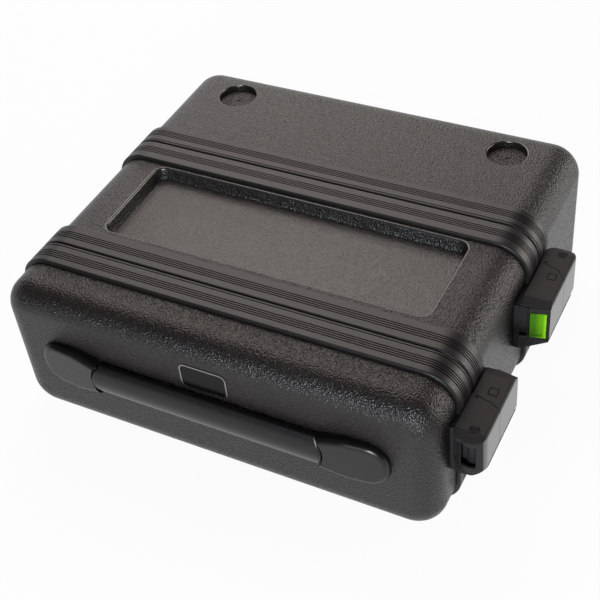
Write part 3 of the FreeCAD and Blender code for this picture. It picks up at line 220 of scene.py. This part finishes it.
def cup_rim(place, normal):
    cup_y = (feet_low.y + feet_high.y) / 2
    cups = [Vector((shell_middle.x + side * CUP_SPACING, cup_y)) for side in (-1, 1)]
    return min((place.xy - cup).length for cup in cups) < CUP_REACH and on_rim(place, normal)


print("top of the shells at", round(shell_high.z, 2), "mm")

# %% Finishes of the shells
# Moulded polyethylene, waxy and deep black: broad soft reflections, and pinpoints of light on the pebbles.
grained = grained_polyethylene(
    "grained_polyethylene", pebble=1.3, depth=0.5, smooth=0.15, rough=0.5, shine=0.35
)
paint(grained, "middle_shell", "front_cover_shell", "rear_cover_shell")
# The label's ground: an even, slightly lighter sheen.
flat = grained_polyethylene(
    "flat_grain_polyethylene", pebble=1.0, depth=0.25, smooth=0.24, rough=0.36, shine=0.47
)
refinish("middle_shell", flat, recess_floor)
# Rubbed rims: a thin clear line of light.
rubbed = grained_polyethylene(
    "rubbed_polyethylene", pebble=1.0, depth=0.04, smooth=0.24, rough=0.32, shine=1.0
)
refinish("middle_shell", rubbed, recess_rim)
refinish("rear_cover_shell", rubbed, cup_rim)

# %% [markdown]
# ## Smooth moulded plastics
# The bands, latches, handle and buttons are smoother mouldings. They share one recipe: a base colour that
# drifts slightly, a spark-eroded texture, and a roughness that wanders with it. The real texture is finer
# than a tenth of a millimetre, and it is drawn about half a millimetre wide so that it shows. Only the
# numbers differ, so a function with those numbers as its parameters is the plain choice. Sharp CAD edges
# give themselves away, so the recipe can also round the edges in the shading, with a Bevel node under the
# bump.

# %% Recipe for the smooth mouldings
DRIFT_WIDTH = 25  # the colour drifts over this many millimetres


def moulded_plastic(name, dark, light, roughness, grit, depth, shine=0.4, edge=0, coat=0):
    finish, tree = new_material(name)
    point = add(tree, "ShaderNodeTexCoord").outputs["Object"]
    texture = add(tree, "ShaderNodeTexNoise", Vector=point, Scale=per_mm(grit), Detail=3.0, Roughness=0.6)
    bump = add(tree, "ShaderNodeBump", Height=texture.outputs["Fac"], Strength=0.35, Distance=depth * MM)
    if edge:
        rounded = add(tree, "ShaderNodeBevel", {"samples": 8}, Radius=edge * MM)
        tree.links.new(rounded.outputs["Normal"], bump.inputs["Normal"])
    drift = add(tree, "ShaderNodeTexNoise", Vector=point, Scale=per_mm(DRIFT_WIDTH), Detail=4.0)
    shade = add(tree, "ShaderNodeValToRGB", Fac=drift.outputs["Fac"])
    shade.color_ramp.elements[0].position = 0.32
    shade.color_ramp.elements[0].color = linear(dark)
    shade.color_ramp.elements[1].position = 0.68
    shade.color_ramp.elements[1].color = linear(light)
    gloss = add(
        tree,
        "ShaderNodeMapRange",
        Value=texture.outputs["Fac"],
        From_Min=0.3,
        From_Max=0.7,
        To_Min=roughness - 0.05,
        To_Max=roughness + 0.07,
    )
    surface = add(
        tree,
        "ShaderNodeBsdfPrincipled",
        Base_Color=shade.outputs["Color"],
        Roughness=gloss.outputs["Result"],
        Normal=bump.outputs["Normal"],
        Specular_IOR_Level=shine,
        Coat_Weight=coat,
        Coat_Roughness=0.3,
    )
    add(tree, "ShaderNodeOutputMaterial", Surface=surface.outputs["BSDF"])
    return finish


# %% [markdown]
# ## Bands, handle and feet
# The bands are extruded, the handle is a satin rubber over steel, and the feet and the button springs are
# plain rubber. Each is the recipe with its own blacks: the handle is darkest, and the feet are greyest.

# %% Finishes for bands, handle and feet
# Extruded plastic: a silky black whose ribs show as fine bright and dark lines.
band = moulded_plastic(
    "extruded_band", "#141212", "#181616", roughness=0.42, grit=0.9, depth=0.04, shine=0.33
)
paint(band, *[f"{part}_valance" for part in ("front_cover", "middle_front", "middle_rear", "rear_cover")])
# Satin moulded rubber: a deep black with one long soft highlight along the grip.
satin = moulded_plastic(
    "satin_handle_rubber", "#0a0909", "#0d0c0b", roughness=0.3, grit=0.8, depth=0.03, shine=0.38
)
paint(satin, "handle_grip", "handle_cap_left", "handle_cap_right")
# Plain rubber: a dull dark grey with hardly any highlight.
rubber = moulded_plastic("foot_rubber", "#1a1a1a", "#222222", roughness=0.75, grit=0.7, depth=0.1)
paint(rubber, "rubber_feet", *[f"{end}_button_spring" for end in ENDS])

# %% [markdown]
# ## Latches
# The latches are moulded in glass-filled nylon, with a fine matt texture. Hands close them by their outer
# faces. A second finish on only those faces is a lit copy of the nylon: a lighter colour and more gloss,
# with a thin coat, paint in the brighter light that falls on that side.

# %% Finishes for the latches
HOUSING_PIECES = ("latch_base", "latch_hinge_cap", "latch_lever", "keeper")
LIT_SIDE_PIECES = ("latch_hinge_cap", "latch_lever")


def outer_face(place, normal):
    return normal.x > 0.85


# Textured nylon: matt and nearly black, with softly rounded edges.
housing = moulded_plastic(
    "textured_nylon", "#131212", "#181717", roughness=0.62, grit=0.6, depth=0.08, shine=0.3, edge=1.5
)
paint(housing, *[f"{end}_{piece}" for end in ENDS for piece in HOUSING_PIECES])
# Lit copy of the nylon: the same plastic, painted lighter and glossier, so the outer faces show the bright
# side of the room as a pale grey.
lit_side_copy = moulded_plastic(
    "lit_side_nylon", "#1a1817", "#1f1d1c", roughness=0.32, grit=0.6, depth=0.05, shine=0.8, coat=0.5
)
# Painted light: the lighter, glossier copy goes only on the outer faces, which face the latch-side lamp.
for end in ENDS:
    for piece in LIT_SIDE_PIECES:
        refinish(f"{end}_{piece}", lit_side_copy, outer_face)

# %% [markdown]
# ## Release buttons
# The buttons are lime-green acetal, which lets a little light through. A ramp across each button paints that
# light and the shade into its colour: a painted glow at the outer edge, and painted shade on the side
# towards the case. Light inside the plastic would be slow and noisy to trace.

# %% Finish for the buttons
# Acetal: a saturated green with a dim highlight, and a painted glow that makes its outer edge lighter.
lime = moulded_plastic(
    "lime_acetal", "#5f9f08", "#6cb010", roughness=0.4, grit=0.6, depth=0.04, shine=0.1, edge=0.6
)
button_left, button_right = (corner.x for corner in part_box("rear_release_button"))
lime_tree = lime.node_tree
lime_point = add(lime_tree, "ShaderNodeTexCoord").outputs["Object"]
lime_axes = add(lime_tree, "ShaderNodeSeparateXYZ", Vector=lime_point)
across = add(
    lime_tree,
    "ShaderNodeMapRange",
    Value=lime_axes.outputs["X"],
    From_Min=button_left,
    From_Max=button_right,
)
# Painted light: the ramp runs from painted shade on the case side to a painted glow at the outer edge.
painted_glow = add(lime_tree, "ShaderNodeValToRGB", Fac=across.outputs["Result"])
painted_glow.color_ramp.elements[0].position = 0.35
painted_glow.color_ramp.elements[0].color = linear("#3a6c03")
painted_glow.color_ramp.elements[1].color = linear("#8fd41a")
painted_glow.color_ramp.elements.new(0.85).color = linear("#6aab0a")
lime_tree.links.new(painted_glow.outputs["Color"], lime_tree.nodes["Principled BSDF"].inputs["Base Color"])
paint(lime, *[f"{end}_release_button" for end in ENDS])

# %% [markdown]
# ## Metals and the badge
# Screws, hinge pins and claws are zinc-plated steel with a faint mottle, the latch pins are blackened,
# and the hinge leaves are powder-coated. The badge is a bare gloss plate in a bright rim. A metal keeps
# the default IOR, and its colour is its reflection.


# %% Recipe for plated steel
def plated_steel(name, colour, roughness, mottle):
    finish, tree = new_material(name)
    point = add(tree, "ShaderNodeTexCoord").outputs["Object"]
    cloud = add(tree, "ShaderNodeTexNoise", Vector=point, Scale=per_mm(mottle), Detail=4.0)
    gloss = add(
        tree,
        "ShaderNodeMapRange",
        Value=cloud.outputs["Fac"],
        To_Min=roughness - 0.12,
        To_Max=roughness + 0.12,
    )
    bump = add(tree, "ShaderNodeBump", Height=cloud.outputs["Fac"], Strength=0.1, Distance=0.02 * MM)
    surface = add(
        tree,
        "ShaderNodeBsdfPrincipled",
        Base_Color=linear(colour),
        Metallic=1.0,
        Roughness=gloss.outputs["Result"],
        Normal=bump.outputs["Normal"],
    )
    add(tree, "ShaderNodeOutputMaterial", Surface=surface.outputs["BSDF"])
    return finish


# %% Finishes for metal and badge
ZINC_PIECES = ("latch_claw", "latch_screws", "hinge_rivets", "hinge_pin")
# Zinc plating: a pale, slightly cloudy silver.
zinc = plated_steel("zinc_plated_steel", "#b9b9b5", roughness=0.35, mottle=1.5)
paint(zinc, *[f"{end}_{piece}" for end in ENDS for piece in ZINC_PIECES])
paint(zinc, "middle_hinge_rivets", "keeper_screws", "handle_screws", "foot_screws")
# Blackened steel: almost as dark as the plastic round it, with a metal's glint.
blackened = plated_steel("blackened_steel", "#171616", roughness=0.45, mottle=1.5)
paint(blackened, *[f"{end}_latch_pin" for end in ENDS])
# Plated rim: a fine bright frame round the badge.
paint(plated_steel("bright_rim", "#8d8b86", roughness=0.3, mottle=2.0), "badge_rim")
# Powder coat: an even black with a fine orange peel.
powder = moulded_plastic("black_powder_coat", "#151414", "#1a1919", roughness=0.5, grit=0.4, depth=0.1)
paint(powder, *[f"{end}_hinge_{leaf}_leaf" for end in ENDS for leaf in ("cover", "sleeve")])
# Gloss plate: the deepest black on the case.
gloss_plate = moulded_plastic(
    "gloss_badge_plate", "#060606", "#090909", roughness=0.2, grit=2.0, depth=0.01, shine=0.1
)
paint(gloss_plate, "badge_plate")

# %% [markdown]
# ## Foam
# Charcoal foam fills the sleeve and pads the covers. Cut foam has soft edges and open cells, so each
# block starts as a merged copy of its plain solid. A voxel remesh makes it an even skin, and a smoothing
# pass rounds the cut edges. A bevel on each edge could round them too, but the remesh also gives the
# block even faces. A real cell is under a millimetre wide, and it is drawn wider here so that it shows.

# %% The foam's finish
CELL_WIDTH = 1.6


def open_cell_foam():
    finish, tree = new_material("open_cell_foam")
    point = add(tree, "ShaderNodeTexCoord").outputs["Object"]
    cells = add(tree, "ShaderNodeTexVoronoi", Vector=point, Scale=per_mm(CELL_WIDTH))
    bump = add(tree, "ShaderNodeBump", Height=cells.outputs["Distance"], Strength=0.8, Distance=0.8 * MM)
    shade = add(tree, "ShaderNodeValToRGB", Fac=cells.outputs["Distance"])
    shade.color_ramp.elements[0].color = linear("#1b1b1d")
    shade.color_ramp.elements[1].color = linear("#3a3a3d")
    surface = add(
        tree,
        "ShaderNodeBsdfPrincipled",
        Base_Color=shade.outputs["Color"],
        Roughness=0.95,
        Normal=bump.outputs["Normal"],
    )
    add(tree, "ShaderNodeOutputMaterial", Surface=surface.outputs["BSDF"])
    return finish


# Polyether foam: a dull charcoal, speckled by its open cells, with no highlight.
foam = open_cell_foam()
print(foam.name, "ready")


# %% The foam blocks
def select_only(piece):
    bpy.ops.object.select_all(action="DESELECT")
    piece.select_set(True)
    bpy.context.view_layer.objects.active = piece


def foam_block(name, node, body, skin):
    """Replace a foam node by a softened copy whose faces are about as wide as the skin, in millimetres."""
    piece = bpy.data.objects.new(name, nodes[node].data.copy())
    bpy.context.collection.objects.link(piece)
    select_only(piece)
    bpy.ops.object.mode_set(mode="EDIT")
    bpy.ops.mesh.select_all(action="SELECT")
    bpy.ops.mesh.remove_doubles(threshold=0.01 * MM)
    bpy.ops.object.mode_set(mode="OBJECT")
    piece.data.remesh_voxel_size = skin * MM
    piece.data.remesh_voxel_adaptivity = 0
    bpy.ops.object.voxel_remesh()
    soften = piece.modifiers.new("soften", "SMOOTH")
    soften.factor = 0.5
    soften.iterations = 6
    bpy.ops.object.modifier_apply(modifier="soften")
    bpy.ops.object.shade_smooth()
    piece.data.materials.clear()
    piece.data.materials.append(foam)
    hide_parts(node)
    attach(piece, body)
    print(name, len(piece.data.polygons), "faces")


foam_block("sleeve_foam", "middle_foam", "middle", 2.5)
foam_block("front_pad", "front_cover_foam", "front_cover", 3)
foam_block("rear_pad", "rear_cover_foam", "rear_cover", 3)

# %% [markdown]
# ## The handle's strap
# A spring-steel strap runs through the grip, and its ends slide in the caps. When the grip is pulled out,
# the strap bows between the two. Each half is a thin bar cut into short lengths.

# %% Two halves of the strap
STRAP_LENGTHS = 40
strap_low, strap_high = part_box("handle_strap")
strap_middle = (strap_low + strap_high) / 2
strap_size = strap_high - strap_low
half = strap_size.x / 2
for side, name in ((-1, "strap_left"), (1, "strap_right")):
    bpy.ops.object.select_all(action="DESELECT")
    bpy.ops.mesh.primitive_cube_add(size=1, location=strap_middle + Vector((side * half / 2, 0, 0)))
    strap = bpy.context.object
    strap.name = name
    strap.scale = (half, strap_size.y, strap_size.z)
    bpy.ops.object.transform_apply(location=True, rotation=True, scale=True)
    bpy.ops.object.mode_set(mode="EDIT")
    for cut in range(1, STRAP_LENGTHS):
        bpy.ops.mesh.select_all(action="SELECT")
        at = strap_middle + Vector((side * half * cut / STRAP_LENGTHS, 0, 0))
        bpy.ops.mesh.bisect(plane_co=at, plane_no=(1, 0, 0))
    bpy.ops.object.mode_set(mode="OBJECT")
    rounded = strap.modifiers.new("rounded", "BEVEL")
    rounded.width = 0.25 * MM
    rounded.segments = 2
    rounded.limit_method = "ANGLE"
    bpy.ops.object.modifier_apply(modifier="rounded")
    strap.data.materials.append(zinc)
    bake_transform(strap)
    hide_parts("handle_strap")
    print(name, len(strap.data.polygons), "faces")

# %% [markdown]
# ## The button springs
# Behind each release button a rubber sleeve pushes it out again. A pressed button shortens its sleeve by
# 2.2 of its 3.7 mm, so the sleeve flattens towards the end that rests on the lever. Here each spring only
# gets a mesh of its own.

# %% Springs get their own meshes
for end, resting in (("front", 0), ("rear", 1)):
    spring = f"{end}_button_spring"
    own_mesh(nodes[spring])

# %% [markdown]
# ## Floor
# The case stands on white paper. A sheet bright enough to look white would need strong lamps, and they
# would grey the black case. So the camera and reflections see it as nearly plain white, without its being
# a lamp, and a small share stays an ordinary sheet that takes the case's shadow.

# %% Paper floor
PAPER_WHITE = 0.94
bpy.ops.object.select_all(action="DESELECT")
bpy.ops.mesh.primitive_plane_add(size=8, location=(0, 0, 0))
floor = bpy.context.object
floor.name = "studio_floor"
# Matt paper: an even white with a faint soft shadow.
floor_finish, floor_tree = new_material("white_paper")
floor_rays = add(floor_tree, "ShaderNodeLightPath")
sheet = add(floor_tree, "ShaderNodeBsdfDiffuse", Color=linear("#e8e8e8"))
plain_white = add(floor_tree, "ShaderNodeEmission", Color=(1, 1, 1, 1), Strength=1.0)
floor_seen = floor_rays.outputs["Is Camera Ray"]
for ray in ("Is Glossy Ray", "Is Transmission Ray"):
    either = add(floor_tree, "ShaderNodeMath", {"operation": "MAXIMUM"})
    floor_tree.links.new(floor_seen, either.inputs[0])
    floor_tree.links.new(floor_rays.outputs[ray], either.inputs[1])
    floor_seen = either.outputs[0]
share = add(floor_tree, "ShaderNodeMath", {"operation": "MULTIPLY"})
floor_tree.links.new(floor_seen, share.inputs[0])
share.inputs[1].default_value = PAPER_WHITE
floor_mix = add(floor_tree, "ShaderNodeMixShader", Fac=share.outputs[0])
floor_tree.links.new(sheet.outputs[0], floor_mix.inputs[1])
floor_tree.links.new(plain_white.outputs[0], floor_mix.inputs[2])
add(floor_tree, "ShaderNodeOutputMaterial", Surface=floor_mix.outputs[0])
floor.data.materials.append(floor_finish)
print("floor ready")

# %% [markdown]
# ## Room
# The room is dim, so that the black stays black. Low down behind the case the paper sweeps up, and
# reflections see that sweep as white; straight above and in front they see the dim room. The camera sees
# white everywhere.

# %% World
ROOM_LIGHT = 0.1
world = bpy.data.worlds.new("studio")
bpy.context.scene.world = world
world.use_nodes = True
world_tree = world.node_tree
world_tree.nodes.clear()
room = add(world_tree, "ShaderNodeBackground", Color=linear("#f4f4f4"), Strength=ROOM_LIGHT)
sweep = add(world_tree, "ShaderNodeBackground", Color=(1, 1, 1, 1), Strength=1.0)
world_rays = add(world_tree, "ShaderNodeLightPath")
direction = add(world_tree, "ShaderNodeTexCoord").outputs["Generated"]
way = add(world_tree, "ShaderNodeSeparateXYZ", Vector=direction)
low_down = add(
    world_tree,
    "ShaderNodeMapRange",
    Value=way.outputs["Z"],
    From_Min=0.25,
    From_Max=0.4,
    To_Min=1.0,
    To_Max=0.0,
)
behind = add(world_tree, "ShaderNodeMapRange", Value=way.outputs["Y"], From_Min=-0.1, From_Max=0.2)
world_seen = world_rays.outputs["Is Glossy Ray"]
for operation, other in (
    ("MAXIMUM", world_rays.outputs["Is Transmission Ray"]),
    ("MULTIPLY", low_down.outputs["Result"]),
    ("MULTIPLY", behind.outputs["Result"]),
    ("MAXIMUM", world_rays.outputs["Is Camera Ray"]),
):
    step = add(world_tree, "ShaderNodeMath", {"operation": operation})
    world_tree.links.new(world_seen, step.inputs[0])
    world_tree.links.new(other, step.inputs[1])
    world_seen = step.outputs[0]
world_mix = add(world_tree, "ShaderNodeMixShader", Fac=world_seen)
world_tree.links.new(room.outputs[0], world_mix.inputs[1])
world_tree.links.new(sweep.outputs[0], world_mix.inputs[2])
add(world_tree, "ShaderNodeOutputWorld", Surface=world_mix.outputs[0])
bpy.context.scene.view_settings.view_transform = "Standard"
print("world ready")

# %% [markdown]
# ## Lamps
# Black plastic shows what it reflects, so each lamp stands where a face needs something to mirror. A
# broad warm window behind the case lies along the tops, a weak lamp low behind it adds a grazing light, a
# cool strip in front makes the grain sparkle, and a soft lamp at the latch side brightens the right flank.
# Straight above it stays dark, which keeps the rounded front edge black.


# %% Four softboxes
def softbox(name, place, aim, size, power, tint):
    """Place, aim and size are in metres, and the power is in watts."""
    lamp = bpy.data.lights.new(name, "AREA")
    lamp.shape = "RECTANGLE"
    lamp.size, lamp.size_y = size
    lamp.energy = power
    lamp.color = linear(tint)[:3]
    holder = bpy.data.objects.new(name, lamp)
    holder.location = place
    holder.rotation_euler = (Vector(aim) - Vector(place)).to_track_quat("-Z", "Y").to_euler()
    bpy.context.collection.objects.link(holder)
    print(name, power, "W")


softbox("rear_window", (-0.67, 1.1, 1.6), (0, 0, 0.06), (1.4, 1.5), 30, "#fff3ee")
softbox("rear_low", (-1.04, 1.7, 0.42), (0, 0, 0.08), (2.2, 0.6), 4, "#fffaf6")
softbox("front_strip", (0.35, -1.5, 0.52), (0, 0, 0.08), (0.45, 0.2), 26, "#eff6ff")
softbox("latch_side", (1.3, 0.8, 0.36), (0.1, 0, 0.06), (1.1, 0.6), 14, "#fff8f0")

# %% [markdown]
# ## Camera
# The camera stands where the photograph was taken from. Its angles, its lens and its stand were fitted to
# points of the case in the picture, which is 600 pixels wide. Setting it by eye would come close, but the
# edges would not line up.

# %% Camera
PICTURE_PIXELS = 600
FOCAL_PIXELS = 1218.173
SENSOR = 36
CAMERA_STAND = Vector((13.519, -44.501, 860.269))  # along the camera's own axes, in millimetres
azimuth, elevation, roll = (math.radians(angle) for angle in (31.303, 43.054, -6.83))
turn = Matrix.Rotation(azimuth, 3, "Z") @ Matrix.Rotation(math.pi / 2 - elevation, 3, "X")
turn = turn @ Matrix.Rotation(roll, 3, "Z")
top_middle = Vector((shell_middle.x, shell_middle.y, shell_high.z)) * MM
camera = bpy.data.objects.new("camera", bpy.data.cameras.new("camera"))
camera.rotation_euler = turn.to_euler()
camera.location = top_middle + turn @ CAMERA_STAND * MM
camera.data.sensor_width = SENSOR
camera.data.lens = FOCAL_PIXELS / PICTURE_PIXELS * SENSOR
camera.data.clip_start = 0.01
bpy.context.collection.objects.link(camera)
bpy.context.scene.camera = camera
print("lens", round(camera.data.lens, 2), "mm")
